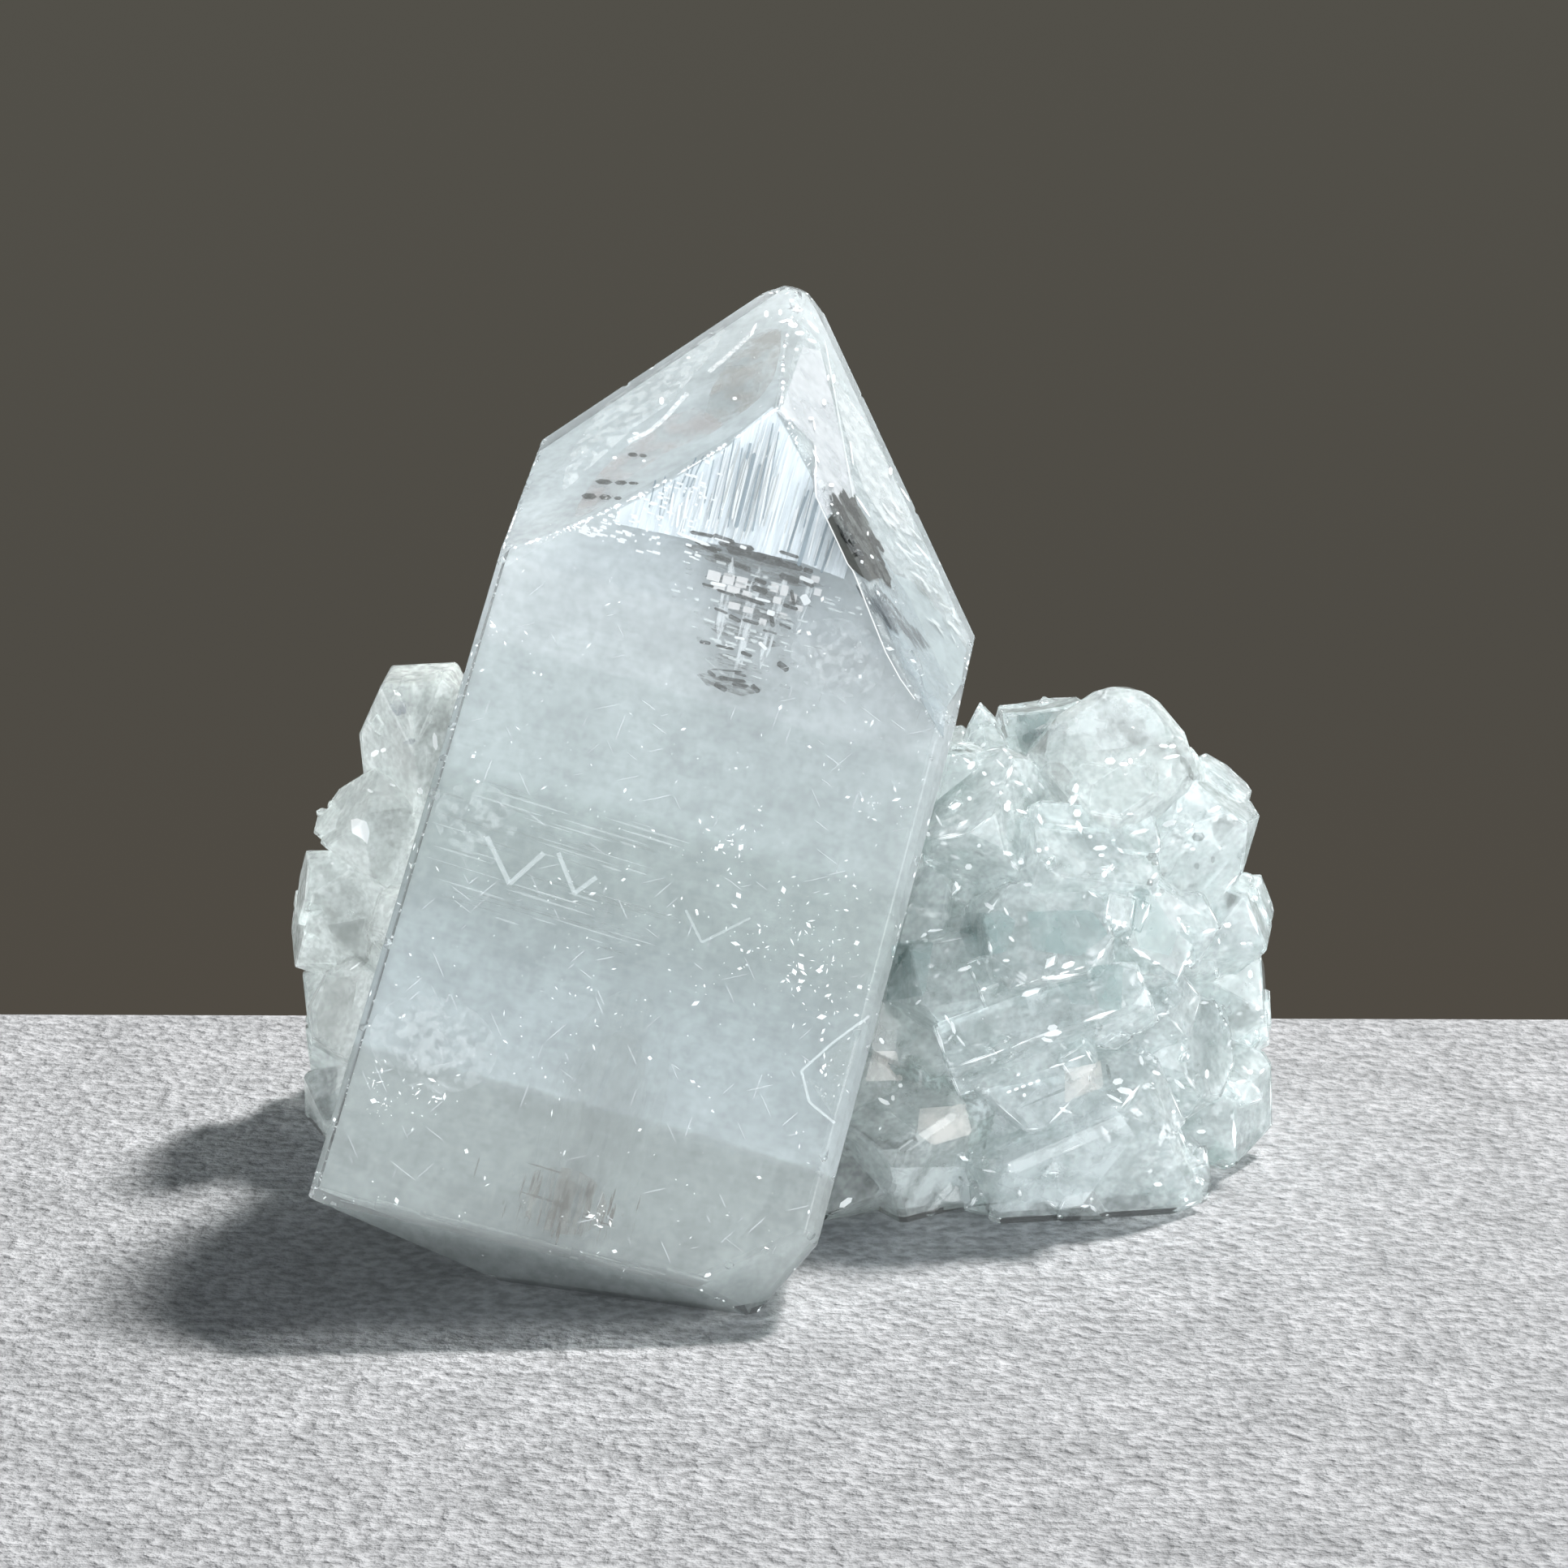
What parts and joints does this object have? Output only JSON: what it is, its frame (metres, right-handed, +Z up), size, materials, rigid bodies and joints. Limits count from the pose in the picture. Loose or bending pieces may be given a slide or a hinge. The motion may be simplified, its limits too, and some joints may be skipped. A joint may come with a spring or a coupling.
{
  "type": "apophyllite crystal",
  "caption": "Natural apophyllite: a large pale clear prism with a four-sided point, leaning back on two lobes of small intergrown crystals.",
  "frame": {"origin": "middle of the bounding box at the level surface it stands on", "axes": "+Z up; -Y towards the viewer who faces the large crystal's broad front; +X to that viewer's right"},
  "size_m": [0.0482, 0.042, 0.0412],
  "materials": {
    "crystal": "glassy to frosted, pale mint to bluish white, milky in bands"
  },
  "bodies": {
    "root": {"apophyllite_cluster": "crystal"}
  },
  "joints": []
}
